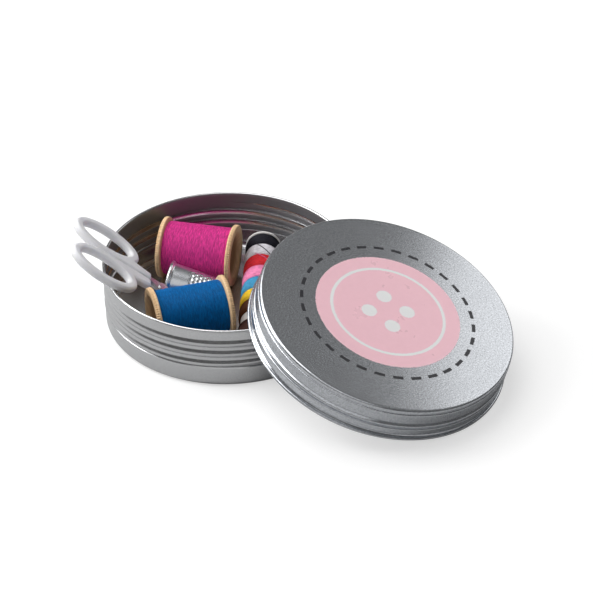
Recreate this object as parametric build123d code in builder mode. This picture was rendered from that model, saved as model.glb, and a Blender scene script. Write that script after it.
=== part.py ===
from build123d import *
import os
from math import atan2, cos, degrees, hypot, pi, radians, sin, sqrt

# A round aluminium sewing tin with its screw lid off and leaning on the rim.
# Millimetres. Origin: centre of the tin's underside. +Z up, +X from the tin
# to its lid. The contents are laid out on axes turned about +Z, square to the
# side from which one looks into the tin: x to the right, y away.

os.makedirs("parts", exist_ok=True)

# Tin
tin_height = 22.4
body_radius = 41.3
corner_radius = 2.2
sheet = 0.4
neck_radius = 40.9
bead_depth = 0.6
bead_width = 2.4
bead_pitch = 3.9
bead_count = 3
first_bead = 9.0
rim_radius = 41.6
curl_radius = 0.5
curl_sides = 6
curl_turn = 30

# Lid
lid_height = 12.6
lid_bore = 41.85
skirt_radius = 42.3
lid_corner = 0.8
knurl_radius = 42.55
knurl_top = 10.7
knurl_bottom = 6.9
groove_radius = 42.2
lid_bead_radius = 42.75
lid_bead_height = 5.6
lid_bead_width = 1.5
band_radius = 42.6
band_top = 4.3
band_bottom = 2.3
hem_radius = 43.4
hem_curl = 0.5
hem_flare = 1.7
lid_tilt = 17.6

# Spools
flange_radius = 10.6
spool_length = 26.0
flange_thickness = 1.6
barrel_radius = 6.6
bore_radius = 3.6
dish_radius = 7.8
dish_depth = 3.0
thread_radius = 8.85
thread_clearance = 0.15
spool_turns = 6
strand_height = 0.5
strand_sink = 0.05
strand_gap = 0.45

# Thimble
thimble_rim = 8.2
thimble_end = 5.8
thimble_length = 16.5
thimble_wall = 0.6
thimble_roll = 0.7
thimble_edge = 0.9

# Card tube and its bands of thread, from the far end
tube_radius = 5.4
tube_bore = 4.9
tube_length = 61.0
collar_radius = 6.2
collar_width = 0.8
band_crown = 0.25
band_depth = 0.5
bands = {
    "black_thread": 6.3,
    "white_thread": 6.4,
    "red_thread": 6.7,
    "pink_thread": 6.7,
    "light_blue_thread": 6.7,
    "yellow_thread": 5.8,
    "brown_thread": 6.6,
    "bare_card": 4.8,
    "dark_brown_thread": 7.6,
}

# Scissors: two handles side by side, two blades crossed on a rivet
handle_thickness = 2.8
loop_reach = 18.3
loop_offset = 7.7
loop_length = 13.0
loop_width = 7.6
hole_length = 9.6
hole_width = 4.4
collar_end = 3.4
collar_root = 4.8
collar_length = 8.0
handle_gap = 0.1
handle_chamfer = 0.7
blade_thickness = 0.75
blade_gap = 0.06
pivot_reach = 5.0
tang_length = 5.0
tang_width = 2.1
blade_width = 1.75
edge_width = 0.7
tip_width = 0.2
rivet_radius = 1.1
rivet_play = 0.05
rivet_head = 1.9
rivet_head_height = 0.5

# Clearances and places
seat_gap = 0.05
rim_gap = 0.05
layout_turn = 33.0
magenta_place = (-10.44, 21.11)
magenta_heading = -12.4
blue_place = (-12.0, -15.45)
blue_heading = 17.3
thimble_place = (-20.63, 5.26)
thimble_heading = -10.4
tube_place = (11.66, 30.92)
tube_heading = -92.2
scissors_place = (-25.72, -5.12, 16.18)
scissors_heading = 181.8
scissors_slope = 38.7

layout = Plane.XY.rotated((0, 0, layout_turn))


def level(heading):
    """The level direction at this heading, in degrees from the layout's x axis."""
    angle = radians(heading + layout_turn)
    return Vector(cos(angle), sin(angle), 0)


def spot(place, height):
    """A point of the layout, at this height over the tin's underside."""
    return layout.from_local_coords(Vector(place[0], place[1], height))


def turned_about(origin, direction):
    """The half plane of a turned piece: x along its axis, y out from it."""
    side = direction.cross(Vector(0, 0, 1)).normalized()
    return Plane(origin=origin, x_dir=direction, z_dir=side)


def save(builder, name):
    builder.part.label = name
    export_step(builder.part, f"parts/{name}.step")


# ---------------------------------------------------------------- the tin
# One profile for the bottom, the wall with its rolled beads and the neck,
# turned round the tin's axis, with a closed curl at the rim.
bead_heights = [first_bead + bead_pitch * k for k in range(bead_count)]
curl_centre = (rim_radius - curl_radius, tin_height - curl_radius)

with BuildPart() as tin_base:
    with BuildSketch(Plane.XZ):
        with BuildLine():
            for inset in (0, sheet):
                wall = neck_radius - inset
                foot = (wall, bead_heights[0] - bead_width / 2)
                Line((0, inset), (body_radius - corner_radius, inset))
                CenterArc(
                    (body_radius - corner_radius, corner_radius),
                    corner_radius - inset,
                    -90,
                    90,
                )
                Polyline(
                    (body_radius - inset, corner_radius),
                    (body_radius - inset, foot[1] - sheet),
                    foot,
                )
                for height in bead_heights:
                    Polyline(
                        (wall, height - bead_width / 2),
                        (wall + bead_depth, height),
                        (wall, height + bead_width / 2),
                    )
                    if height < bead_heights[-1]:
                        Line(
                            (wall, height + bead_width / 2),
                            (wall, height + bead_pitch - bead_width / 2),
                        )
                Line((wall, bead_heights[-1] + bead_width / 2), (wall, curl_centre[1]))
            Line((neck_radius, curl_centre[1]), (neck_radius - sheet, curl_centre[1]))
            Line((0, 0), (0, sheet))
        make_face()
        with Locations(curl_centre):
            RegularPolygon(curl_radius, curl_sides, rotation=curl_turn)
    revolve(axis=Axis.Z)
save(tin_base, "tin_base")


# ---------------------------------------------------------------- the lid
# The lid leans: its hem stands on the table on the far side and lies across
# the tin's rim at two points. How far out it stands follows from its tilt.
tilt = radians(lid_tilt)
hem_ring = hem_radius - hem_curl
contact = hem_curl + curl_radius + rim_gap


def rim_distance(reach):
    """Least distance between the hem's and the rim's middle lines."""
    least = tin_height
    for step in range(0, 1800):
        turn = pi * step / 1800
        x = reach - hem_ring * cos(tilt) * cos(turn)
        y = hem_ring * sin(turn)
        z = hem_lift + hem_ring * sin(tilt) * cos(turn)
        least = min(least, hypot(hypot(x, y) - curl_centre[0], z - curl_centre[1]))
    return least


hem_lift = hem_ring * sin(tilt) + hem_curl
near_reach = rim_radius
far_reach = rim_radius + 2 * hem_radius
while far_reach - near_reach > 0.001:
    middle = (near_reach + far_reach) / 2
    if rim_distance(middle) < contact:
        near_reach = middle
    else:
        far_reach = middle
lid_reach = far_reach

lid_axis = Vector(sin(tilt), 0, cos(tilt))
hem_centre = Vector(lid_reach, 0, hem_lift) - lid_axis * hem_curl
lid_half = Plane(
    origin=hem_centre, x_dir=Vector(cos(tilt), 0, -sin(tilt)), z_dir=Vector(0, -1, 0)
)

with BuildPart() as lid:
    with BuildSketch(lid_half):
        with BuildLine():
            Line((0, lid_height), (skirt_radius - lid_corner, lid_height))
            CenterArc(
                (skirt_radius - lid_corner, lid_height - lid_corner), lid_corner, 0, 90
            )
            Polyline(
                (skirt_radius, lid_height - lid_corner),
                (knurl_radius, knurl_top),
                (knurl_radius, knurl_bottom),
                (groove_radius, lid_bead_height + lid_bead_width / 2),
                (lid_bead_radius, lid_bead_height),
                (groove_radius, lid_bead_height - lid_bead_width / 2),
                (band_radius, band_top),
                (band_radius, band_bottom),
                (groove_radius, hem_flare),
                (hem_ring, hem_curl),
                (hem_ring - hem_curl, hem_curl),
                (lid_bore, hem_flare),
                (lid_bore, lid_height - sheet),
                (0, lid_height - sheet),
                (0, lid_height),
            )
        make_face()
        with Locations((hem_ring, hem_curl)):
            RegularPolygon(hem_curl, curl_sides, rotation=curl_turn)
    revolve(axis=Axis(hem_centre, lid_axis))
save(lid, "lid")


# ---------------------------------------------------------------- the spools
def helix_point(place, radius, pitch, turn, start):
    """A point on a winding, turn counted in whole turns from its start."""
    angle = 2 * pi * turn
    return place.from_local_coords(
        Vector(radius * cos(angle), radius * sin(angle), start + pitch * turn)
    )


def least_gap(place, radius, pitch, turns, start, width):
    """The least gap of a winding to itself, measured between points on it."""
    steps = 24
    points = [helix_point(place, radius, pitch, k / steps, start) for k in range(int(turns * steps) + 1)]
    least = min(
        (points[i] - points[j]).length
        for i in range(len(points))
        for j in range(i + steps // 2, min(i + 2 * steps, len(points)))
    )
    return least - width


def wind(place, radius, length, turns, height, name):
    """One unbroken strand of three sides, wound evenly over a plain core."""
    width = (length / turns - strand_gap) / (1 + 1 / turns)
    pitch = (length - width) / turns
    start = -(length - width) / 2
    with BuildPart() as strand:
        with BuildLine() as path:
            for quarter in range(int(turns * 4)):
                ThreePointArc(
                    helix_point(place, radius, pitch, quarter / 4, start),
                    helix_point(place, radius, pitch, quarter / 4 + 0.125, start),
                    helix_point(place, radius, pitch, quarter / 4 + 0.25, start),
                )
        begin = path.line.edges()[0] @ 0
        along = path.line.edges()[0] % 0
        out = (begin - place.origin - place.z_dir * start).normalized()
        with BuildSketch(Plane(origin=begin, x_dir=out, z_dir=along)):
            with BuildLine():
                Polyline((0, -width / 2), (0, width / 2), (height, 0), close=True)
            make_face()
        sweep(path=path.line)
    print(name, "turns", turns, "least gap", round(least_gap(place, radius, pitch, turns, start, width), 2), "mm")
    return strand.part


def spool(name, place, heading):
    """A turned wooden spool on its side, and the thread wound on it."""
    axis = level(heading)
    centre = spot(place, sheet + seat_gap + flange_radius)
    half = spool_length / 2
    thread_half = half - flange_thickness - thread_clearance
    with BuildPart() as wood:
        with BuildSketch(turned_about(centre, axis)) as quarter:
            with BuildLine():
                Polyline(
                    (0, bore_radius),
                    (half - dish_depth, bore_radius),
                    (half, dish_radius),
                    (half, flange_radius),
                    (half - flange_thickness, flange_radius),
                    (half - flange_thickness, barrel_radius),
                    (0, barrel_radius),
                    close=True,
                )
            make_face()
            mirror(about=Plane.YZ)
        revolve(axis=Axis(centre, axis))
    save(wood, f"{name}_spool")
    strand = wind(
        Plane(origin=centre, z_dir=axis),
        thread_radius - strand_sink,
        2 * thread_half,
        spool_turns,
        strand_height + strand_sink,
        f"{name}_thread",
    )
    with BuildPart() as thread:
        with BuildSketch(turned_about(centre, axis)):
            with Locations((0, (barrel_radius + thread_radius) / 2)):
                Rectangle(2 * thread_half, thread_radius - barrel_radius)
        revolve(axis=Axis(centre, axis))
        add(strand)
    save(thread, f"{name}_thread")


spool("magenta", magenta_place, magenta_heading)
spool("blue", blue_place, blue_heading)


# ---------------------------------------------------------------- thimble
# A drawn steel cup on its side, resting on its rolled rim and its closed end.
thimble_lean = degrees(atan2(thimble_rim - thimble_end, thimble_length))
thimble_axis = level(thimble_heading) * cos(radians(thimble_lean))
thimble_axis = thimble_axis - Vector(0, 0, sin(radians(thimble_lean)))
thimble_mouth = spot(
    thimble_place, sheet + seat_gap + thimble_rim * cos(radians(thimble_lean))
)
wall_at_mouth = thimble_rim - thimble_roll

with BuildPart() as thimble:
    with BuildSketch(turned_about(thimble_mouth, thimble_axis)):
        with BuildLine():
            Polyline(
                (thimble_roll, wall_at_mouth - thimble_wall),
                (thimble_length - thimble_wall, thimble_end - thimble_wall),
                (thimble_length - thimble_wall, 0),
                (thimble_length, 0),
                (thimble_length, thimble_end - thimble_edge),
                (thimble_length - thimble_edge, thimble_end),
                (thimble_roll, wall_at_mouth),
                close=True,
            )
        make_face()
        with Locations((thimble_roll, wall_at_mouth)):
            RegularPolygon(thimble_roll, curl_sides, rotation=curl_turn)
    revolve(axis=Axis(thimble_mouth, thimble_axis))
save(thimble, "thimble")


# ---------------------------------------------------------------- card tube
# A card tube with an edge turned out at each end, and crowned bands of
# thread wound round it side by side, with one stretch of card left bare.
tube_axis = level(tube_heading)
tube_end = spot(tube_place, sheet + seat_gap + collar_radius)

with BuildPart() as thread_tube:
    with BuildSketch(turned_about(tube_end, tube_axis)):
        with BuildLine():
            Polyline(
                (0, tube_bore),
                (0, collar_radius),
                (collar_width, collar_radius),
                (collar_width, tube_radius),
                (tube_length - collar_width, tube_radius),
                (tube_length - collar_width, collar_radius),
                (tube_length, collar_radius),
                (tube_length, tube_bore),
                close=True,
            )
        make_face()
    revolve(axis=Axis(tube_end, tube_axis))
save(thread_tube, "thread_tube")

band_start = collar_width
for name, width in bands.items():
    if name != "bare_card":
        with BuildPart() as band:
            with BuildSketch(turned_about(tube_end, tube_axis)):
                with BuildLine():
                    first = (band_start, tube_radius + band_depth)
                    last = (band_start + width, tube_radius + band_depth)
                    ThreePointArc(
                        first,
                        (band_start + width / 2, tube_radius + band_depth + band_crown),
                        last,
                    )
                    Polyline(
                        last,
                        (band_start + width, tube_radius),
                        (band_start, tube_radius),
                        first,
                    )
                make_face()
            revolve(axis=Axis(tube_end, tube_axis))
        save(band, name)
    band_start += width


# ---------------------------------------------------------------- scissors
# The blades stand on the tin's floor and the finger loops lie over its rim.
# x runs along the closed scissors to the handles, y to the near handle.
slope = radians(scissors_slope)
scissors_along = level(scissors_heading) * cos(slope) + Vector(0, 0, sin(slope))
scissors_up = Vector(0, 0, cos(slope)) - level(scissors_heading) * sin(slope)
collar_point = spot(scissors_place[:2], scissors_place[2])
blade_level = blade_gap / 2 + blade_thickness
tip_reach = (collar_point.Z - sheet - seat_gap - blade_level * cos(slope)) / sin(slope)


def scissors_plane(height):
    return Plane(
        origin=collar_point + scissors_up * height,
        x_dir=scissors_along,
        z_dir=scissors_up,
    )


def blade(side, bottom, hole):
    """One blade: its tang is on this side of the middle, its edge on the other."""
    with BuildPart() as steel:
        with BuildSketch(scissors_plane(bottom)):
            with BuildLine():
                Polyline(
                    (tang_length, side * handle_gap),
                    (tang_length, side * tang_width),
                    (-pivot_reach + blade_width, side * tang_width),
                    (-pivot_reach - rivet_radius, side * blade_width),
                    (-pivot_reach - blade_width, side * edge_width),
                    (-tip_reach, side * tip_width),
                    (-tip_reach + blade_width, -side * edge_width),
                    (-pivot_reach - blade_width, -side * blade_width),
                    (-pivot_reach + rivet_radius, -side * blade_width),
                    (0, side * handle_gap),
                    close=True,
                )
            make_face()
            with Locations((-pivot_reach, 0)):
                Circle(hole, mode=Mode.SUBTRACT)
        extrude(amount=blade_thickness)
    return steel


def handle(side, tang):
    """One moulded handle: a collar round the tang and an oval finger loop."""
    with BuildPart() as grip:
        with BuildSketch(scissors_plane(-handle_thickness / 2)):
            with Locations((loop_reach, side * loop_offset)):
                Ellipse(loop_length, loop_width)
            with BuildLine():
                Polyline(
                    (0, side * handle_gap / 2),
                    (0, side * collar_end),
                    (collar_length, side * collar_root),
                    (loop_reach, side * collar_root),
                    (loop_reach, side * handle_gap / 2),
                    close=True,
                )
            make_face()
            with Locations((loop_reach, side * loop_offset)):
                Ellipse(hole_length, hole_width, mode=Mode.SUBTRACT)
        extrude(amount=handle_thickness)
        flats = grip.faces().filter_by(Axis(collar_point, scissors_up))
        chamfer(flats.edges(), handle_chamfer)
        add(tang, mode=Mode.SUBTRACT)
    return grip


near_blade = blade(1, -blade_level, rivet_radius)
far_blade = blade(-1, blade_gap / 2, rivet_radius + rivet_play)
save(near_blade, "scissors_near_blade")
save(far_blade, "scissors_far_blade")
save(handle(1, near_blade.part), "scissors_near_handle")
save(handle(-1, far_blade.part), "scissors_far_handle")

with BuildPart() as scissors_rivet:
    with BuildSketch(scissors_plane(-blade_level)):
        with Locations((-pivot_reach, 0)):
            Circle(rivet_radius)
    extrude(amount=2 * blade_level + rivet_play)
    for height in (-blade_level - rivet_head_height, blade_level + rivet_play):
        with BuildSketch(scissors_plane(height)):
            with Locations((-pivot_reach, 0)):
                Circle(rivet_head)
        extrude(amount=rivet_head_height)
save(scissors_rivet, "scissors_rivet")

print("lid reach", round(lid_reach, 2), "lid axis", [round(v, 4) for v in lid_axis])
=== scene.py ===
import math

import bmesh
import bpy
from bpy.props import FloatProperty, FloatVectorProperty, IntProperty, PointerProperty
from mathutils import Matrix, Vector


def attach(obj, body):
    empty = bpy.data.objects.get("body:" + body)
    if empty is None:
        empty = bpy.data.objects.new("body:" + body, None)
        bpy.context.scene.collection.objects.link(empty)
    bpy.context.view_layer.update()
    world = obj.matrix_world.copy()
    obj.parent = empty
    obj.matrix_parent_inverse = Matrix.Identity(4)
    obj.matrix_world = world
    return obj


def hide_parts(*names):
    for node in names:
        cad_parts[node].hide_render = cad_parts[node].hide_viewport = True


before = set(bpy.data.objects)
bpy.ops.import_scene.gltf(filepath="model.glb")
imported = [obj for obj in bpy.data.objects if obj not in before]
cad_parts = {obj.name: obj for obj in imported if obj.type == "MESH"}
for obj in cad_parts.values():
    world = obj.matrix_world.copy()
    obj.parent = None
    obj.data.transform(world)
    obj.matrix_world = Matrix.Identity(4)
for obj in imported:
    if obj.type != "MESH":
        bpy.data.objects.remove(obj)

bl_info = {
    "name": "Sewing tin",
    "version": (1, 0, 0),
    "blender": (4, 5, 0),
    "location": "View3D > Sidebar > Sewing tin",
    "description": "Builds a round aluminium sewing tin with its thread, thimble, scissors and leaning lid",
    "category": "Add Mesh",
}

MM = 0.001
FULL = 2 * math.pi
# How far the viewer's level axes are turned on the frame's.
LAYOUT_TURN = math.radians(33.0)


# ------------------------------------------------------------------ settings
def length(name, description, default):
    """A size that a user can set."""
    return FloatProperty(
        name=name,
        description=description,
        default=default,
        min=0.0,
        precision=5,
        unit="LENGTH",
        subtype="DISTANCE",
    )


def colour(name, description, default):
    """A colour that a user can set."""
    return FloatVectorProperty(
        name=name,
        description=description,
        default=default,
        size=3,
        min=0.0,
        max=1.0,
        subtype="COLOR",
    )


class SewingTinSizes(bpy.types.PropertyGroup):
    sheet: length("Sheet", "Thickness of the tin's aluminium sheet", 0.4 * MM)
    thread_depth: length("Thread depth", "How far the rolled screw thread stands out", 0.6 * MM)
    thread_width: length("Thread width", "Width of one turn of the screw thread", 3.6 * MM)
    knurl_count: IntProperty(
        name="Knurl count", description="Teeth round the lid's knurled band", default=320, min=16
    )
    knurl_depth: length("Knurl depth", "Depth of the lid's knurled teeth", 0.24 * MM)
    flange_teeth: IntProperty(
        name="Flange teeth", description="Fine teeth round each spool's flange", default=84, min=8
    )
    flange_tooth: length("Flange tooth", "Depth of the teeth on the flanges", 0.34 * MM)
    strand: length("Sewing thread", "Thickness of the thread on the spools", 0.3 * MM)
    band_strand: length("Band thread", "Thickness of the thread on the card tube", 0.4 * MM)
    dimple_depth: length("Dimple depth", "Depth of the dimples on the thimble", 0.13 * MM)
    button_radius: length("Button radius", "Radius of the button printed on the lid", 24.0 * MM)
    stitch_radius: length("Stitch radius", "Radius of the printed ring of stitches", 28.6 * MM)


class SewingTinColours(bpy.types.PropertyGroup):
    tin: colour("Tin", "Satin aluminium of the tin", (0.60, 0.605, 0.615))
    lid: colour("Lid", "Satin aluminium of the lid", (0.58, 0.60, 0.63))
    wood: colour("Wood", "Bare turned wood of the spools", (0.78, 0.53, 0.30))
    magenta: colour("Magenta thread", "Thread on the far spool", (0.70, 0.05, 0.30))
    blue: colour("Blue thread", "Thread on the near spool", (0.0, 0.12, 0.36))
    plastic: colour("Plastic", "Milky plastic of the scissors' handles", (0.80, 0.80, 0.82))
    button: colour("Button print", "Ink of the printed button", (0.98, 0.60, 0.67))
    thread: colour("Thread print", "Ink of the printed button's ring and holes", (0.88, 0.88, 0.88))
    stitch: colour("Stitch print", "Ink of the printed stitches", (0.035, 0.035, 0.04))


# ---------------------------------------------------------------- placing
def square_on(x, y, z):
    """A direction or distance on axes square to the viewer, x to the right and y away."""
    return Matrix.Rotation(LAYOUT_TURN, 3, "Z") @ Vector((x, y, z))


def laid(x, y, z):
    """A place in the tin, in millimetres on the same axes."""
    return square_on(x, y, z) * MM


def level(heading):
    """The level direction at this heading, in degrees from the viewer's right."""
    return Matrix.Rotation(LAYOUT_TURN + math.radians(heading), 3, "Z") @ Vector((1, 0, 0))


def along(origin, direction):
    """The place of a turned piece that is made about z and stands on this axis."""
    turn = direction.to_track_quat("Z", "Y").to_matrix().to_4x4()
    return Matrix.Translation(origin) @ turn


# From here down, sizes of the pieces are in millimetres until they are multiplied by MM.
# The lid leans on the tin's rim, and its curled hem rests on the table.
LID_TILT = math.radians(17.6)
LID_AXIS = Vector((math.sin(LID_TILT), 0, math.cos(LID_TILT)))
LID_REACH = 58.87
HEM_RADIUS, HEM_ROLL = 42.9, 0.5
HEM_LIFT = HEM_RADIUS * math.sin(LID_TILT) + HEM_ROLL
LID_PLACE = along((Vector((LID_REACH, 0, HEM_LIFT)) - HEM_ROLL * LID_AXIS) * MM, LID_AXIS)

# The contents lie at this height, just above the tin's bottom sheet.
STANDING = 0.45

SPOOL_CORE, SPOOL_FLANGE = 6.6, 10.6
SPOOLS = {
    "magenta": along(laid(-10.44, 21.11, STANDING + SPOOL_FLANGE), level(-12.4)),
    "blue": along(laid(-12.0, -15.45, STANDING + SPOOL_FLANGE), level(17.3)),
}

# The thimble lies on its rolled rim and on the edge of its closed end. These sizes are its solid's.
THIMBLE_RIM, THIMBLE_END, THIMBLE_TALL = 8.2, 5.8, 16.5
THIMBLE_LEAN = math.atan2(THIMBLE_RIM - THIMBLE_END, THIMBLE_TALL)
THIMBLE_AXIS = level(-10.4) * math.cos(THIMBLE_LEAN) - Vector((0, 0, math.sin(THIMBLE_LEAN)))
THIMBLE_LIFT = STANDING + THIMBLE_RIM * math.cos(THIMBLE_LEAN)
THIMBLE_PLACE = along(laid(-20.63, 5.26, THIMBLE_LIFT), THIMBLE_AXIS)

TUBE_RADIUS, TUBE_LENGTH = 6.2, 61.0
TUBE_PLACE = along(laid(11.66, 30.92, STANDING + TUBE_RADIUS), level(-92.2))

# The bands on the card tube in order: node, width and colour. The one with no name is bare card.
BANDS = (
    ("black_thread", 6.3, (0.012, 0.012, 0.018)),
    ("white_thread", 6.4, (0.72, 0.70, 0.74)),
    ("red_thread", 6.7, (0.62, 0.025, 0.035)),
    ("pink_thread", 6.7, (0.80, 0.23, 0.42)),
    ("light_blue_thread", 6.7, (0.05, 0.26, 0.45)),
    ("yellow_thread", 5.8, (0.80, 0.52, 0.03)),
    ("brown_thread", 6.6, (0.10, 0.035, 0.015)),
    ("", 4.8, (0, 0, 0)),
    ("dark_brown_thread", 7.6, (0.035, 0.013, 0.010)),
)
BAND_START = 0.8
BAND_GAP = 0.08
# Where a loose end begins and ends along the tube, and its angles from the top in degrees.
LOOSE_ENDS = {"black_thread": (6.6, 17.5, -28, 62), "pink_thread": (22.0, 13.2, 75, -22)}


# ---------------------------------------------------------------- meshes
def arc(cx, cz, radius, start, end, count):
    """Points of a rounded corner in an outline, from one angle in degrees to another."""
    points = []
    for part in range(count + 1):
        angle = math.radians(start + (end - start) * part / count)
        points.append((cx + radius * math.cos(angle), cz + radius * math.sin(angle)))
    return points


def ladder(radius, low, high, step):
    """Points up or down a straight wall, close enough together to be dressed."""
    count = max(1, round(abs(high - low) / step))
    return [(radius, low + (high - low) * rung / count) for rung in range(count + 1)]


def spin(bm, geom, angle, steps, rise=0.0, copies=False):
    """Spins geometry round z in steps, each raised by the same amount."""
    bmesh.ops.spin(
        bm,
        geom=geom,
        cent=(0, 0, 0),
        axis=(0, 0, 1),
        dvec=(0, 0, rise),
        angle=angle,
        steps=steps,
        use_merge=False,
        use_duplicate=copies,
    )


def lathe(bm, outline, steps, closed=False, sectors=8):
    """Spins an outline of radii and heights in millimetres once round z, sector by sector."""
    verts = [bm.verts.new((radius * MM, 0, height * MM)) for radius, height in outline]
    pairs = list(zip(verts, verts[1:]))
    if closed:
        pairs.append((verts[-1], verts[0]))
    edges = [bm.edges.new(pair) for pair in pairs]
    spin(bm, verts + edges, FULL / sectors, steps // sectors)
    sector = bm.verts[:] + bm.edges[:] + bm.faces[:]
    spin(bm, sector, FULL * (sectors - 1) / sectors, sectors - 1, copies=True)
    bmesh.ops.remove_doubles(bm, verts=bm.verts, dist=1e-7)
    bmesh.ops.recalc_face_normals(bm, faces=bm.faces)


def strand(bm, radius, thickness, start, rise, turn, laps, steps, sides, begin=0.0):
    """Winds one thread round z in laps of the same angle and rise. Sizes are in metres."""
    old = set(bm.verts)
    bmesh.ops.create_circle(
        bm,
        cap_ends=False,
        radius=thickness / 2,
        segments=sides,
        matrix=Matrix.Rotation(begin, 4, "Z")
        @ Matrix.Translation((radius, 0, start))
        @ Matrix.Rotation(math.pi / 2, 4, "X"),
    )
    ring = [vert for vert in bm.verts if vert not in old]
    edges = list({edge for vert in ring for edge in vert.link_edges})
    spin(bm, ring + edges, turn, steps, rise / steps)
    if laps > 1:
        lap = [vert for vert in bm.verts if vert not in old]
        edges = list({edge for vert in lap for edge in vert.link_edges})
        faces = list({face for vert in lap for face in vert.link_faces})
        spin(bm, lap + edges + faces, turn * (laps - 1), laps - 1, rise, copies=True)
    fresh = [vert for vert in bm.verts if vert not in old]
    bmesh.ops.remove_doubles(bm, verts=fresh, dist=1e-7)
    ends = [edge for edge in bm.edges if edge.is_boundary]
    bmesh.ops.holes_fill(bm, edges=ends, sides=0)


def polar(vert):
    """Radius, angle and height of a vertex about z."""
    return math.hypot(vert.co.x, vert.co.y), math.atan2(vert.co.y, vert.co.x), vert.co.z


def set_radius(vert, radius, angle):
    """Moves a vertex to this radius and angle about z, at its own height."""
    vert.co.x = radius * math.cos(angle)
    vert.co.y = radius * math.sin(angle)


def shown(name, bm, place, material, crease=35):
    """Makes the finished object of a bmesh, with its place in its mesh."""
    bmesh.ops.transform(bm, matrix=place, space=Matrix(), verts=bm.verts)
    for face in bm.faces:
        face.smooth = True
    for edge in bm.edges:
        edge.smooth = edge.calc_face_angle(0) < math.radians(crease)
    mesh = bpy.data.meshes.new(name)
    bm.to_mesh(mesh)
    bm.free()
    mesh.materials.append(material)
    piece = bpy.data.objects.new(name, mesh)
    bpy.context.scene.collection.objects.link(piece)
    return piece


def stands_for(piece, body, node):
    """The piece moves with a body and is shown in place of its plain solid."""
    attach(piece, body)
    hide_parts(node)


# ---------------------------------------------------------------- node tools
class Tree:
    """A short way to add and wire shader nodes."""

    def __init__(self, tree):
        self.tree = tree

    def node(self, kind, values=None, **settings):
        made = self.tree.nodes.new(kind)
        for key, value in settings.items():
            setattr(made, key, value)
        for key, value in (values or {}).items():
            self.feed(made, key, value)
        return made

    def feed(self, node, key, value):
        socket = node.inputs[key]
        if isinstance(value, bpy.types.NodeSocket):
            self.tree.links.new(value, socket)
        else:
            socket.default_value = value

    def math(self, operation, first, second=0.0, third=0.0):
        values = {0: first, 1: second}
        if operation == "MULTIPLY_ADD":
            values[2] = third
        return self.node("ShaderNodeMath", values, operation=operation).outputs[0]

    def map(self, value, low, high, to_low=0.0, to_high=1.0, smooth=False):
        made = self.node(
            "ShaderNodeMapRange",
            {"Value": value, "From Min": low, "From Max": high, "To Min": to_low, "To Max": to_high},
            interpolation_type="SMOOTHSTEP" if smooth else "LINEAR",
        )
        return made.outputs["Result"]

    def mix(self, factor, first, second):
        made = self.node("ShaderNodeMix", data_type="RGBA")
        self.feed(made, 0, factor)
        self.feed(made, 6, first)
        self.feed(made, 7, second)
        return made.outputs[2]

    def noise(self, vector, scale, detail=2.0, roughness=0.5):
        made = self.node(
            "ShaderNodeTexNoise",
            {"Vector": vector, "Scale": scale, "Detail": detail, "Roughness": roughness},
        )
        return made.outputs["Fac"]


def group(name, inputs, outputs):
    """A new node group with float or vector sockets, and its tree, input and output nodes."""
    made = bpy.data.node_groups.new(name, "ShaderNodeTree")
    for socket, kind, default in inputs:
        item = made.interface.new_socket(socket, in_out="INPUT", socket_type=kind)
        if default is not None:
            item.default_value = default
    for socket, kind in outputs:
        made.interface.new_socket(socket, in_out="OUTPUT", socket_type=kind)
    tree = Tree(made)
    return made, tree, tree.node("NodeGroupInput"), tree.node("NodeGroupOutput")


def turned_position():
    """Where a point lies on a turned piece: its radius, angle and height."""
    name = "Turned position"
    if name in bpy.data.node_groups:
        return bpy.data.node_groups[name]
    made, tree, source, result = group(
        name,
        [("Vector", "NodeSocketVector", None)],
        [(socket, "NodeSocketFloat") for socket in ("Radius", "Angle", "Height")],
    )
    split = tree.node("ShaderNodeSeparateXYZ", {"Vector": source.outputs["Vector"]})
    x, y, z = split.outputs
    square = tree.math("ADD", tree.math("MULTIPLY", x, x), tree.math("MULTIPLY", y, y))
    tree.feed(result, "Radius", tree.math("SQRT", square))
    tree.feed(result, "Angle", tree.math("ARCTAN2", y, x))
    tree.feed(result, "Height", z)
    return made


def spun_lines():
    """The fine rings that spinning leaves in sheet metal, handling marks, and a speckled grain."""
    name = "Spun lines"
    if name in bpy.data.node_groups:
        return bpy.data.node_groups[name]
    made, tree, source, result = group(
        name,
        [
            ("Vector", "NodeSocketVector", None),
            ("Radius", "NodeSocketFloat", 0.0),
            ("Angle", "NodeSocketFloat", 0.0),
            ("Height", "NodeSocketFloat", 0.0),
            ("Lines", "NodeSocketFloat", 4000.0),
            ("Marks", "NodeSocketFloat", 90.0),
        ],
        [(socket, "NodeSocketFloat") for socket in ("Line", "Mark", "Grain")],
    )
    slow = tree.math("MULTIPLY", source.outputs["Angle"], 0.0006)
    rings = tree.node(
        "ShaderNodeCombineXYZ",
        {0: source.outputs["Radius"], 1: source.outputs["Height"], 2: slow},
    ).outputs[0]
    tree.feed(result, "Line", tree.noise(rings, source.outputs["Lines"], 3.0, 0.6))
    tree.feed(result, "Mark", tree.noise(source.outputs["Vector"], source.outputs["Marks"], 4.0, 0.6))
    tree.feed(result, "Grain", tree.noise(source.outputs["Vector"], 1900.0, 2.0, 0.7))
    return made


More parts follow.
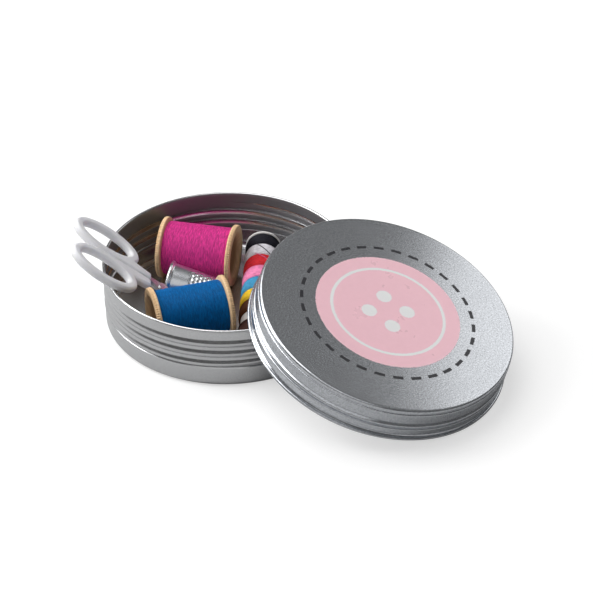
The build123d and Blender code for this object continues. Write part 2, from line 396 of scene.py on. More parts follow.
def twisted_fibre():
    """Uneven tone and fuzz of spun thread, stretched along the way it is wound."""
    name = "Twisted fibre"
    if name in bpy.data.node_groups:
        return bpy.data.node_groups[name]
    made, tree, source, result = group(
        name,
        [
            ("Radius", "NodeSocketFloat", 0.0),
            ("Angle", "NodeSocketFloat", 0.0),
            ("Height", "NodeSocketFloat", 0.0),
            ("Scale", "NodeSocketFloat", 3000.0),
        ],
        [(socket, "NodeSocketFloat") for socket in ("Tone", "Fuzz")],
    )
    short = tree.math("MULTIPLY", source.outputs["Angle"], 0.0016)
    wound = tree.node(
        "ShaderNodeCombineXYZ",
        {0: short, 1: source.outputs["Height"], 2: source.outputs["Radius"]},
    ).outputs[0]
    tree.feed(result, "Tone", tree.noise(wound, source.outputs["Scale"], 2.0, 0.7))
    ply = tree.math("MULTIPLY", source.outputs["Angle"], 0.009)
    twist = tree.node(
        "ShaderNodeCombineXYZ",
        {0: ply, 1: source.outputs["Height"], 2: source.outputs["Radius"]},
    ).outputs[0]
    tree.feed(result, "Fuzz", tree.noise(twist, source.outputs["Scale"], 3.0, 0.6))
    return made


def wood_rings():
    """Growth rings about a line beside the spool, and pores along the grain."""
    name = "Wood rings"
    if name in bpy.data.node_groups:
        return bpy.data.node_groups[name]
    made, tree, source, result = group(
        name,
        [("Vector", "NodeSocketVector", None), ("Ring", "NodeSocketFloat", 0.0011)],
        [(socket, "NodeSocketFloat") for socket in ("Ring", "Pore")],
    )
    bend = tree.noise(source.outputs["Vector"], 110.0, 2.0)
    split = tree.node("ShaderNodeSeparateXYZ", {"Vector": source.outputs["Vector"]})
    x = tree.math("ADD", split.outputs[0], 0.021)
    y = tree.math("ADD", split.outputs[1], -0.009)
    square = tree.math("ADD", tree.math("MULTIPLY", x, x), tree.math("MULTIPLY", y, y))
    far = tree.math("ADD", tree.math("SQRT", square), tree.math("MULTIPLY", bend, 0.003))
    phase = tree.math("MULTIPLY", tree.math("DIVIDE", far, source.outputs["Ring"]), FULL)
    wave = tree.math("SINE", phase)
    tree.feed(result, "Ring", tree.map(wave, -1.0, 1.0, 0.0, 1.0, smooth=True))
    pores = tree.node(
        "ShaderNodeVectorMath",
        {0: source.outputs["Vector"], 1: (2600.0, 2600.0, 420.0)},
        operation="MULTIPLY",
    ).outputs[0]
    tree.feed(result, "Pore", tree.noise(pores, 1.0, 2.0, 0.6))
    return made


def new_material(name):
    """A material with one Principled shader, and a Tree to build on."""
    material = bpy.data.materials.new(name)
    material.use_nodes = True
    material.node_tree.nodes.clear()
    tree = Tree(material.node_tree)
    shader = tree.node("ShaderNodeBsdfPrincipled")
    tree.node("ShaderNodeOutputMaterial", {"Surface": shader.outputs[0]})
    return material, tree, shader


def position_on(tree, place):
    """Object coordinates brought to a piece's own axis, and its radius, angle and height."""
    source = tree.node("ShaderNodeTexCoord").outputs["Object"]
    own = tree.node(
        "ShaderNodeMapping",
        {
            "Vector": source,
            "Location": place.to_translation(),
            "Rotation": place.to_euler(),
        },
        vector_type="TEXTURE",
    ).outputs[0]
    turned = tree.node("ShaderNodeGroup", {"Vector": own}, node_tree=turned_position())
    return own, turned.outputs["Radius"], turned.outputs["Angle"], turned.outputs["Height"]


def tinted(tree, base, low, high, value):
    """The base colour made darker and lighter by a value that varies over the surface."""
    dark = [channel * low for channel in base] + [1.0]
    light = [min(1.0, channel * high) for channel in base] + [1.0]
    return tree.mix(value, dark, light)


def roughen(tree, shader, relief, strength, depth):
    """Gives a shader the fine relief of its surface. The depth is in metres."""
    bump = tree.node("ShaderNodeBump", {"Height": relief, "Strength": strength, "Distance": depth})
    tree.feed(shader, "Normal", bump.outputs[0])


# ---------------------------------------------------------------- materials
def spun_aluminium(name, base, place, roughness, grain, decorate):
    """Satin aluminium with spinning lines and handling marks, and what decorate adds: print on the lid,
    painted shade inside the tin.
    """
    material, tree, shader = new_material(name)
    own, radius, angle, height = position_on(tree, place)
    lines = tree.node(
        "ShaderNodeGroup",
        {"Vector": own, "Radius": radius, "Angle": angle, "Height": height},
        node_tree=spun_lines(),
    )
    speckle = tree.map(lines.outputs["Grain"], 0.3, 0.7)
    tone = tree.math("MULTIPLY_ADD", lines.outputs["Line"], 0.3, tree.math("MULTIPLY", speckle, 0.7))
    metal = tinted(tree, base, 1 - grain, 1 + grain, tone)
    rough = tree.map(lines.outputs["Mark"], 0.3, 0.75, roughness, roughness + 0.03)
    metal, metallic, rough = decorate(tree, own, radius, angle, height, metal, rough)
    tree.feed(shader, "Metallic", metallic)
    tree.feed(shader, "Base Color", metal)
    tree.feed(shader, "Roughness", rough)
    relief = tree.math("ADD", lines.outputs["Line"], lines.outputs["Grain"])
    roughen(tree, shader, relief, 0.1, 0.00002)
    return material


def painted_shade_inside(tree, _own, radius, _angle, height, metal, rough):
    """The inside of the tin's wall: rougher than the outside, and darker grey and less metallic by painted
    shade.
    """
    within_wall = tree.map(radius, 40.7 * MM, 40.75 * MM, 1.0, 0.0)
    above_bottom = tree.map(height, 0.6 * MM, 3.0 * MM)
    inside = tree.math("MULTIPLY", within_wall, above_bottom)
    # Painted shade: the inside wall is mixed towards dark grey and made less metallic; only the added
    # roughness is the surface's own.
    shade = tree.mix(inside, metal, (0.22, 0.22, 0.23, 1.0))
    metallic = tree.math("MULTIPLY_ADD", inside, -0.45, 1.0)
    return shade, metallic, tree.math("MULTIPLY_ADD", inside, 0.22, rough)


def printed_button(sizes, colours):
    """A plain four-hole button inside a ring of running stitches, printed on the lid."""
    button = sizes.button_radius
    ring = 0.78 * button
    hole_place, hole_radius = 0.19 * button, 0.105 * button
    stitch_count = 30.0
    soft = 0.12 * MM

    def decorate(tree, own, radius, angle, height, metal, rough):
        rag = tree.math("MULTIPLY_ADD", tree.noise(own, 2400.0, 3.0, 0.7), 0.7 * MM, -0.35 * MM)
        edge = tree.math("ADD", radius, rag)
        disc = tree.map(edge, button, button + soft, 1.0, 0.0)
        groove = tree.math("ABSOLUTE", tree.math("SUBTRACT", edge, ring))
        groove = tree.map(groove, 0.45 * MM, 0.6 * MM, 1.0, 0.0)
        # The four holes lie alike about the middle, so the distance from one stands for all.
        squares = []
        split = tree.node("ShaderNodeSeparateXYZ", {"Vector": own})
        for axis in (0, 1):
            away = tree.math("SUBTRACT", tree.math("ABSOLUTE", split.outputs[axis]), hole_place)
            squares.append(tree.math("MULTIPLY", away, away))
        hole = tree.math("ADD", tree.math("SQRT", tree.math("ADD", *squares)), rag)
        hole = tree.map(hole, hole_radius, hole_radius + soft, 1.0, 0.0)
        pale = tree.math("MULTIPLY", disc, tree.math("MAXIMUM", groove, hole))
        seam = tree.math("ABSOLUTE", tree.math("SUBTRACT", edge, sizes.stitch_radius))
        seam = tree.map(seam, 0.55 * MM, 0.68 * MM, 1.0, 0.0)
        dash = tree.math("SINE", tree.math("MULTIPLY", angle, stitch_count))
        dash = tree.map(dash, -0.25, -0.2, 0.0, 1.0)
        dark = tree.math("MULTIPLY", seam, dash)
        # Only the flat top is printed, not what lies under it.
        face = tree.map(height, 12.2 * MM, 12.4 * MM, 0.0, 1.0)
        disc, pale, dark = (tree.math("MULTIPLY", mask, face) for mask in (disc, pale, dark))
        ink = tinted(tree, colours.button, 0.95, 1.05, tree.noise(own, 500.0, 4.0, 0.7))
        painted = tree.mix(disc, metal, ink)
        painted = tree.mix(pale, painted, [*colours.thread, 1.0])
        painted = tree.mix(dark, painted, [*colours.stitch, 1.0])
        cover = tree.math("MAXIMUM", disc, dark)
        metallic = tree.math("MULTIPLY_ADD", cover, -0.77, 0.85)
        rough = tree.math("ADD", rough, tree.math("MULTIPLY", cover, 0.12))
        return painted, metallic, rough

    return decorate


def turned_wood(name, base, place):
    """Bare, fine-grained wood, smooth from the lathe, with painted shade in the dished ends and the bore.
    """
    material, tree, shader = new_material(name)
    own, radius, angle, height = position_on(tree, place)
    rings = tree.node("ShaderNodeGroup", {"Vector": own}, node_tree=wood_rings())
    pores = tree.math("MULTIPLY", rings.outputs["Pore"], 0.45)
    tone = tree.math("MULTIPLY_ADD", rings.outputs["Ring"], 0.55, pores)
    wood = tinted(tree, base, 0.86, 1.12, tone)
    # Painted shade: deep in the dished end and in the bore the wood is painted darker.
    unshaded = tree.map(radius, 5.8 * MM, 7.9 * MM, 0.0, 1.0, smooth=True)
    recess_shade = [base[0] * 0.42, base[1] * 0.33, base[2] * 0.28, 1.0]
    tree.feed(shader, "Base Color", tree.mix(unshaded, recess_shade, wood))
    tree.feed(shader, "Roughness", tree.map(rings.outputs["Pore"], 0.3, 0.7, 0.5, 0.66))
    lathe_lines = tree.node(
        "ShaderNodeCombineXYZ", {0: radius, 1: height, 2: tree.math("MULTIPLY", angle, 0.0004)}
    ).outputs[0]
    relief = tree.math("ADD", rings.outputs["Pore"], tree.noise(lathe_lines, 3600.0, 2.0))
    roughen(tree, shader, relief, 0.4, 0.00006)
    return material


def cotton(name, base, place, scale=3200.0, spread=0.4):
    """Sewing thread: a soft sheen, and fibres that run the way it is wound."""
    material, tree, shader = new_material(name)
    radius, angle, height = position_on(tree, place)[1:]
    fibre = tree.node(
        "ShaderNodeGroup",
        {"Radius": radius, "Angle": angle, "Height": height, "Scale": scale},
        node_tree=twisted_fibre(),
    )
    tone = tree.map(fibre.outputs["Tone"], 0.3, 0.7)
    tree.feed(shader, "Base Color", tinted(tree, base, 1 - spread, 1 + spread, tone))
    tree.feed(shader, "Roughness", tree.map(fibre.outputs["Fuzz"], 0.3, 0.7, 0.48, 0.68))
    roughen(tree, shader, fibre.outputs["Fuzz"], 0.5, 0.00008)
    shader.inputs["Sheen Weight"].default_value = 0.02
    shader.inputs["Sheen Roughness"].default_value = 0.4
    shader.inputs["Specular IOR Level"].default_value = 0.12
    return material


def plated_steel(name, place):
    """Bright plated metal, with the soft wear of handling."""
    material, tree, shader = new_material(name)
    own, radius, angle, height = position_on(tree, place)
    lines = tree.node(
        "ShaderNodeGroup",
        {"Vector": own, "Radius": radius, "Angle": angle, "Height": height},
        node_tree=spun_lines(),
    )
    tree.feed(shader, "Base Color", tinted(tree, (0.74, 0.76, 0.79), 0.9, 1.08, lines.outputs["Line"]))
    tree.feed(shader, "Roughness", tree.map(lines.outputs["Mark"], 0.3, 0.7, 0.24, 0.3))
    roughen(tree, shader, lines.outputs["Line"], 0.05, 0.00002)
    shader.inputs["Metallic"].default_value = 1.0
    return material


def milky_plastic(base):
    """Moulded plastic that lets some light through."""
    material, tree, shader = new_material("milky_plastic")
    source = tree.node("ShaderNodeTexCoord").outputs["Object"]
    cloud = tree.noise(source, 160.0, 3.0, 0.6)
    skin = tree.noise(source, 3800.0, 2.0, 0.5)
    tree.feed(shader, "Base Color", tinted(tree, base, 0.95, 1.04, cloud))
    tree.feed(shader, "Roughness", tree.map(skin, 0.3, 0.7, 0.3, 0.42))
    roughen(tree, shader, skin, 0.15, 0.00003)
    shader.inputs["Subsurface Weight"].default_value = 0.6
    shader.inputs["Subsurface Radius"].default_value = (1.0, 1.0, 1.1)
    shader.inputs["Subsurface Scale"].default_value = 0.0025
    shader.inputs["IOR"].default_value = 1.48
    return material


def brushed_steel():
    """Ground steel of the small blades and their rivet, with its lines along the blades."""
    material, tree, shader = new_material("blade_steel")
    source = tree.node("ShaderNodeTexCoord").outputs["Object"]
    turned = tree.node(
        "ShaderNodeMapping",
        {"Vector": source, "Rotation": (0.0, math.radians(38.7), math.radians(-34.8))},
    ).outputs[0]
    stretched = tree.node(
        "ShaderNodeVectorMath", {0: turned, 1: (900.0, 9000.0, 9000.0)}, operation="MULTIPLY"
    ).outputs[0]
    ground = tree.noise(stretched, 1.0, 3.0, 0.6)
    tree.feed(shader, "Base Color", tinted(tree, (0.60, 0.59, 0.60), 0.85, 1.12, ground))
    tree.feed(shader, "Roughness", tree.map(ground, 0.3, 0.7, 0.22, 0.36))
    roughen(tree, shader, ground, 0.25, 0.00003)
    shader.inputs["Metallic"].default_value = 1.0
    return material


def pale_card(place):
    """Rolled card with a faint spiral of paper fibres."""
    material, tree, shader = new_material("pale_card")
    own, radius, angle, height = position_on(tree, place)
    spiral = tree.node(
        "ShaderNodeCombineXYZ",
        {0: tree.math("MULTIPLY_ADD", angle, 0.004, height), 1: radius, 2: 0.0},
    ).outputs[0]
    paper = tree.noise(spiral, 900.0, 3.0, 0.6)
    fibre = tree.noise(own, 3000.0, 3.0, 0.7)
    tree.feed(shader, "Base Color", tinted(tree, (0.74, 0.72, 0.71), 0.88, 1.1, paper))
    shader.inputs["Roughness"].default_value = 0.75
    roughen(tree, shader, tree.math("ADD", paper, fibre), 0.4, 0.00005)
    return material


# ---------------------------------------------------------------- operators
class SEWINGTIN_OT_tin(bpy.types.Operator):
    """Build the tin: bottom, wall with its rolled screw thread, and curled rim"""

    bl_idname = "sewingtin.tin"
    bl_label = "Tin"

    def execute(self, context):
        sizes = context.scene.sewing_tin_sizes
        sheet = sizes.sheet / MM
        wall, neck, foot = 41.3, 40.9, 2.2
        thread_low, thread_high, thread_step = 8.1, 18.5, 0.2
        bottom = [(0, 0), (12, 0), (24, 0), (34, 0), (37.2, 0)]
        bottom += [(37.8, 0.25), (38.4, 0.25), (39.0, 0.0)]
        outline = bottom + arc(wall - foot, foot, foot, -88, 0, 8)
        outline += ladder(wall, 2.6, 7.0, 1.1)
        outline += [(wall - 0.05, 7.35), (neck + 0.1, 7.6), (neck, 7.9)]
        outline += ladder(neck, thread_low, thread_high, thread_step)
        outline += ladder(neck, 18.9, 21.3, 0.6)
        # The curled rim, and then down the inside of the wall.
        outline += arc(neck + 0.2, 21.9, 0.5, -113, 178, 14)
        inner = neck - sheet
        outline += ladder(inner, 21.5, 18.7, 0.6)
        outline += ladder(inner, thread_high, thread_low, thread_step)
        outline += [(inner, 7.8), (inner + 0.35, 7.35), (wall - sheet, 7.0)]
        outline += ladder(wall - sheet, 6.4, 2.4, 1.0)
        outline += arc(wall - foot, foot, foot - sheet, 0, -88, 8)
        outline += [(radius, height + sheet) for radius, height in reversed(bottom)]
        bm = bmesh.new()
        lathe(bm, outline, 240)
        for vert in bm.verts:
            radius, angle, height = polar(vert)
            threaded = thread_low - 0.15 < height / MM < thread_high + 0.1
            if threaded and radius > 40 * MM:
                set_radius(vert, radius + self.thread(sizes, angle, height), angle)
        piece = shown("tin_shell", bm, Matrix(), self.metal(context))
        stands_for(piece, "tin", "tin_base")
        return {"FINISHED"}

    def thread(self, sizes, angle, height):
        """How far the thread stands out: three turns that rise once round the neck each."""
        front = math.radians(-57.0)
        first_height, pitch, last_turn, run_out = 9.0, 3.9, 2, 0.08
        round_front = (angle - front + math.pi) % FULL - math.pi
        turns = (height / MM - first_height) / pitch - round_front / FULL
        turn = min(last_turn, max(0, round(turns)))
        away = abs(turns - turn) * pitch * MM
        if away > sizes.thread_width / 2:
            return 0.0
        position = turn + round_front / FULL
        fade = min(1.0, (position + 0.5) / run_out, (last_turn + 0.5 - position) / run_out)
        crest = 0.5 + 0.5 * math.cos(FULL * away / sizes.thread_width)
        return sizes.thread_depth * crest * max(0.0, fade)

    def metal(self, context):
        """The tin's aluminium, rougher on the inside and darkened there by painted shade."""
        colours = context.scene.sewing_tin_colours
        return spun_aluminium("tin_aluminium", colours.tin, Matrix(), 0.24, 0.1, painted_shade_inside)


class SEWINGTIN_OT_lid(bpy.types.Operator):
    """Build the lid, with its knurled band, beads, hem and printed button"""

    bl_idname = "sewingtin.lid"
    bl_label = "Lid"

    def execute(self, context):
        sizes = context.scene.sewing_tin_sizes
        colours = context.scene.sewing_tin_colours
        sheet = sizes.sheet / MM
        top, skirt, shoulder = 12.6, 42.3, 0.8
        outline = [(0, top), (14, top), (28, top), (38, top), (41.0, top)]
        outline += arc(skirt - shoulder, top - shoulder, shoulder, 88, 0, 8)
        # The seat of the knurled band, the bead, the plain band and the curled hem.
        outline += [(skirt, 11.3), (skirt - 0.08, 11.0), (skirt - 0.2, 10.7), (skirt - 0.2, 6.9)]
        outline += [(42.05, 6.7), (42.05, 6.45)]
        outline += arc(42.15, 5.65, 0.6, 75, -75, 8)
        outline += [(42.05, 4.85), (42.05, 4.65)]
        outline += arc(42.3, 4.1, 0.38, 80, 0, 4)
        outline += ladder(42.68, 3.7, 2.7, 0.5)
        outline += arc(42.3, 2.4, 0.38, 0, -80, 4)
        outline += [(42.15, 1.85), (42.1, 1.6), (42.2, 1.3), (42.5, 0.95)]
        outline += arc(HEM_RADIUS, HEM_ROLL, HEM_ROLL, 120, -178, 14)
        # Back up the inside of the skirt.
        outline += [(42.25, 0.8), (41.85, 1.4), (41.8, 1.8)]
        outline += ladder(42.05, 2.4, 4.1, 0.85)
        outline += [(41.75, 4.7), (41.95, 5.3), (41.95, 6.0), (41.75, 6.6)]
        outline += ladder(skirt - sheet, 7.1, 11.2, 1.0)
        outline += arc(skirt - shoulder, top - shoulder, shoulder - sheet, 0, 88, 5)
        outline += [(radius, top - sheet) for radius in (38, 28, 14, 0)]
        bm = bmesh.new()
        lathe(bm, outline, 240)
        self.knurl(bm, sizes)
        print_on = printed_button(sizes, colours)
        metal = spun_aluminium("lid_aluminium", colours.lid, LID_PLACE, 0.15, 0.4, print_on)
        piece = shown("lid_shell", bm, LID_PLACE, metal)
        stands_for(piece, "lid", "lid")
        return {"FINISHED"}

    def knurl(self, bm, sizes):
        """The knurled band: a ring of its own, fine enough for its slanted teeth."""
        crest, slant = 42.5, 7.0
        band = bmesh.new()
        outline = [(42.02, 10.85), (42.3, 10.7)] + ladder(crest, 10.5, 7.1, 0.34)
        outline += [(42.3, 6.9), (42.02, 6.75)]
        lathe(band, outline, sizes.knurl_count * 4, sectors=16)
        for vert in band.verts:
            radius, angle, height = polar(vert)
            if radius > (crest - 0.1) * MM:
                tooth = math.cos((angle + height * slant) * sizes.knurl_count)
                set_radius(vert, radius - sizes.knurl_depth * (0.5 - 0.5 * tooth), angle)
        mesh = bpy.data.meshes.new("knurl")
        band.to_mesh(mesh)
        band.free()
        bm.from_mesh(mesh)
        bpy.data.meshes.remove(mesh)


class SEWINGTIN_OT_spools(bpy.types.Operator):
    """Build the two turned wooden spools, with dished ends and fine teeth on their flanges"""

    bl_idname = "sewingtin.spools"
    bl_label = "Wooden spools"

    def execute(self, context):
        sizes = context.scene.sewing_tin_sizes
        colours = context.scene.sewing_tin_colours
        bore = 3.6
        half = [(SPOOL_CORE, 0), (SPOOL_CORE, 10.9), (9.6, 11.35)]
        half += arc(10.2, 11.8, 0.4, -80, 0, 4)
        half += [(SPOOL_FLANGE, 12.0), (SPOOL_FLANGE, 12.35)]
        half += arc(SPOOL_FLANGE - 0.5, 12.5, 0.5, 0, 90, 5)
        # The dished end, and the bore to the middle of the spool.
        half += [(9.0, 13.0), (8.1, 12.95), (7.7, 12.7), (7.2, 12.1), (5.4, 10.6)]
        half += [(3.8, 9.7), (bore, 9.3), (bore, 0)]
        other = [(radius, -height) for radius, height in reversed(half[1:-1])]
        for name, place in SPOOLS.items():
            bm = bmesh.new()
            lathe(bm, half + other, sizes.flange_teeth * 4, closed=True)
            for vert in bm.verts:
                radius, angle, height = polar(vert)
                if radius > 10.1 * MM and abs(height) > 12.2 * MM:
                    tooth = 0.5 + 0.5 * math.cos(angle * sizes.flange_teeth)
                    set_radius(vert, radius - sizes.flange_tooth * tooth, angle)
            wood = turned_wood(f"{name}_spool_wood", colours.wood, place)
            piece = shown(f"{name}_spool_turning", bm, place, wood)
            stands_for(piece, f"{name}_reel", f"{name}_spool")
        return {"FINISHED"}


class SEWINGTIN_OT_spool_threads(bpy.types.Operator):
    """Wind the sewing thread on the two spools"""

    bl_idname = "sewingtin.spool_threads"
    bl_label = "Thread on the spools"

    def execute(self, context):
        sizes = context.scene.sewing_tin_sizes
        colours = context.scene.sewing_tin_colours
        half_width, wound, closeness = 11.25, 9.2, 0.97
        # The laps below fill the spool up to the outermost ones.
        filling = ladder(wound - 0.06, -half_width, half_width, 2.0)
        filling += [(SPOOL_CORE, half_width), (SPOOL_CORE, -half_width)]
        run = 2 * half_width * MM - sizes.strand
        laps = round(run / (sizes.strand * closeness))
        for name, place in SPOOLS.items():
            bm = bmesh.new()
            lathe(bm, filling, 72, closed=True)
            strand(bm, wound * MM, sizes.strand, -run / 2, run / laps, FULL, laps, 56, 6)
            for vert in bm.verts:
                radius, angle, height = polar(vert)
                if radius > 9.0 * MM:
                    set_radius(vert, radius + self.layer(height, angle), angle)
            thread = cotton(f"{name}_sewing_thread", getattr(colours, name), place)
            piece = shown(f"{name}_winding", bm, place, thread, 80)
            stands_for(piece, f"{name}_reel", f"{name}_thread")
        return {"FINISHED"}

    def layer(self, height, angle):
        """Small rises and falls where the thread below crosses, and drawn-in ends."""
        across = height / MM
        wave = math.sin(across * 1.9 + 0.8 * math.sin(angle)) + 0.6 * math.sin(across * 5.3 + angle)
        wave += 0.5 * math.sin(across * 13.0 - 2 * angle)
        end = max(0.0, abs(across) - 10.4)
        return (0.022 * wave - 0.18 * end) * MM


class SEWINGTIN_OT_thimble(bpy.types.Operator):
    """Build the thimble, with its rolled rim and staggered dimples"""

    bl_idname = "sewingtin.thimble"
    bl_label = "Thimble"

    def execute(self, context):
        sizes = context.scene.sewing_tin_sizes
        # A little slimmer than its solid, so that it clears the scissors when they open.
        rim, end, tall, wall = 7.28, 5.68, THIMBLE_TALL, 0.6
        outline = arc(rim, 0.7, 0.7, 178, 430, 14)
        outline += [(rim + 0.12, 1.55), (rim + 0.02, 1.8)]
        outline += self.taper(rim, 1.95, end, 15.7, 0.2)
        outline += arc(end - 0.85, tall - 0.85, 0.85, 5, 80, 5)
        outline += self.taper(end - 1.0, tall, 0.6, tall, 0.25)
        outline += [(0, tall), (0, tall - wall), (end - 1.6, tall - wall)]
        outline += arc(end - 1.5, tall - wall - 0.9, 0.9, 80, 0, 3)
        outline += self.taper(end - wall, 15.0, rim - wall, 1.2, 2.0)
        bm = bmesh.new()
        lathe(bm, outline, 200)
        bmesh.ops.holes_fill(bm, edges=[edge for edge in bm.edges if edge.is_boundary], sides=0)
        for vert in bm.verts:
            radius, angle, height = polar(vert)
            if 7.2 * MM < height < 15.9 * MM and radius > 4.4 * MM:
                skin = radius - (rim + (end - rim) * (height / MM) / 16.0) * MM
                outside = skin > -0.35 * MM
                if outside:
                    set_radius(vert, radius - self.dimple(sizes, angle, height), angle)
            elif height > 16.4 * MM:
                vert.co.z -= self.pit(sizes, vert.co.x, vert.co.y, radius)
        plate = plated_steel("thimble_plate", THIMBLE_PLACE)
        piece = shown("thimble_cup", bm, THIMBLE_PLACE, plate, 50)
        stands_for(piece, "thimble", "thimble")
        return {"FINISHED"}

    def taper(self, radius, height, last_radius, last_height, step):
        """Points along a sloping line, close enough together to be dimpled."""
        wider, higher = last_radius - radius, last_height - height
        count = max(1, round(max(abs(higher), abs(wider)) / step))
        return [
            (radius + wider * rung / count, height + higher * rung / count)
            for rung in range(count + 1)
        ]

    def dimple(self, sizes, angle, height):
        """Rows of round dimples, each row half a step round from the last."""
        first_height, row_pitch, rows = 8.2, 1.35, 6
        count, spacing, dimple_radius = 28, 1.45, 0.64
        row = (height / MM - first_height) / row_pitch
        nearest = round(row)
        if not 0 <= nearest < rows:
            return 0.0
        around = angle * count / FULL + 0.5 * (nearest % 2)
        across = (around - round(around)) * spacing
        far = math.hypot(across, (row - nearest) * row_pitch)
        return sizes.dimple_depth * max(0.0, 1 - (far / dimple_radius) ** 2)

    def pit(self, sizes, x, y, radius):
        """Dimples of the closed end, in staggered rows."""
        pitted, row_pitch, spacing, dimple_radius = 4.6, 1.1, 1.25, 0.54
        if radius > pitted * MM:
            return 0.0
        row = y / (row_pitch * MM)
        nearest = round(row)
        across = x / (spacing * MM) + 0.5 * (nearest % 2)
        far = math.hypot((across - round(across)) * spacing, (row - nearest) * row_pitch)
        return sizes.dimple_depth * max(0.0, 1 - (far / dimple_radius) ** 2)


class SEWINGTIN_OT_scissors(bpy.types.Operator):
    """Mould the scissors' handles and finish their blades and rivet"""

    bl_idname = "sewingtin.scissors"
    bl_label = "Scissors"

    def execute(self, context):
        plastic = milky_plastic(context.scene.sewing_tin_colours.plastic)
        steel = brushed_steel()
        for side in ("far", "near"):
            node = f"scissors_{side}_handle"
            bm = bmesh.new()
            bm.from_mesh(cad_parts[node].data)
            bmesh.ops.remove_doubles(bm, verts=bm.verts, dist=1e-6)
            piece = shown(f"{side}_moulded_handle", bm, Matrix(), plastic, 180)
            voxel = piece.modifiers.new("skin", "REMESH")
            voxel.mode = "VOXEL"
            voxel.voxel_size = 0.16 * MM
            voxel.use_smooth_shade = True
            soften = piece.modifiers.new("soften", "SMOOTH")
            soften.factor = 0.5
            soften.iterations = 14
            stands_for(piece, f"scissors_{side}_half", node)
        for node in ("scissors_far_blade", "scissors_near_blade", "scissors_rivet"):
            self.finish(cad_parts[node], steel)
        return {"FINISHED"}

    def finish(self, node, material):
        """Gives a plain solid its material."""
        node.data.materials.clear()
        node.data.materials.append(material)


class SEWINGTIN_OT_card_tube(bpy.types.Operator):
    """Build the card tube that carries the bands of thread"""

    bl_idname = "sewingtin.card_tube"
    bl_label = "Card tube"

    def execute(self, context):
        bore, card = 4.9, 5.4
        lip = [(bore, 0.1), (5.0, 0.0), (6.0, 0.0), (TUBE_RADIUS, 0.15), (TUBE_RADIUS, 0.65)]
        lip += [(6.0, 0.8), (card, 0.85)]
        far_lip = [(radius, TUBE_LENGTH - height) for radius, height in reversed(lip)]
        outline = lip + ladder(card, 2.0, TUBE_LENGTH - 2.0, 3.0)
        outline += far_lip + ladder(bore, TUBE_LENGTH - 2.0, 2.0, 3.0)
        bm = bmesh.new()
        lathe(bm, outline, 96, closed=True)
        piece = shown("card_roll", bm, TUBE_PLACE, pale_card(TUBE_PLACE))
        stands_for(piece, "thread_tube", "thread_tube")
        return {"FINISHED"}


class SEWINGTIN_OT_band_threads(bpy.types.Operator):
    """Wind each coloured band of thread on the card tube, with its loose end"""

    bl_idname = "sewingtin.band_threads"
    bl_label = "Bands of thread"

    def execute(self, context):
        sizes = context.scene.sewing_tin_sizes
        begin = BAND_START
        for name, width, base in BANDS:
            if name:
                self.band(sizes, name, begin + BAND_GAP / 2, width - BAND_GAP, base)
            begin += width
        return {"FINISHED"}

    def band(self, sizes, name, begin, width, base):
        """One band: a filling, three slanted strands, and an even layer of laps."""
        thick = sizes.band_strand
        card, wound, crown, closeness = 5.42, 0.3, 0.22, 0.9
        bm = bmesh.new()
        filling = [(card, begin), (card + wound, begin)]
        for part in range(1, 6):
            swell = crown * math.sin(math.pi * part / 6)
            filling.append((card + wound + swell, begin + width * part / 6))
        filling += [(card + wound, begin + width), (card, begin + width)]
        lathe(bm, filling, 64, closed=True)
        middle = (begin + width / 2) * MM
        for lay, (share, turn) in enumerate(((0.66, 2.3), (0.5, -1.7), (0.6, 1.4))):
            run = width * MM * share
            radius = (card + wound + 0.06) * MM
            turned = lay * 2.2 + begin
            strand(bm, radius, thick, middle - run / 2, run, FULL * turn, 1, 80, 5, turned)
        run = width * MM - thick
        laps = round(run / (thick * closeness))
        start = begin * MM + thick / 2
        strand(bm, (card + wound) * MM, thick, start, run / laps, FULL, laps, 44, 5)
        for vert in bm.verts:
            radius, angle, height = polar(vert)
            if radius > (card + 0.1) * MM:
                across = (height - middle) / (width * MM / 2)
                lift = crown * (1 - min(1.0, abs(across)) ** 2.6) * MM
                lift += 0.02 * MM * math.sin(height / MM * 7 + 3 * angle)
                set_radius(vert, min(radius + lift, TUBE_RADIUS * MM), angle)
        if name in LOOSE_ENDS:
            self.loose_end(bm, thick * 0.7, *LOOSE_ENDS[name])
        thread = cotton(f"{name}_cotton", base, TUBE_PLACE, 2600.0, 0.3)
        piece = shown(f"{name}_band", bm, TUBE_PLACE, thread, 80)
        stands_for(piece, "thread_tube", name)

    def loose_end(self, bm, thick, low, high, left, right):
        """A loose end laid over the bands, between two angles from the top of the tube."""
        inward = TUBE_PLACE.inverted().to_3x3()
        angles = []
        for lean in (left, right):
            side = math.radians(lean)
            out = inward @ (Vector((0, 0, math.cos(side))) + level(0) * math.sin(side))
            angles.append(math.atan2(out.y, out.x))
        turn = (angles[1] - angles[0] + math.pi) % FULL - math.pi
        radius = TUBE_RADIUS * MM + thick / 2
        strand(bm, radius, thick, low * MM, (high - low) * MM, turn, 1, 24, 6, angles[0])


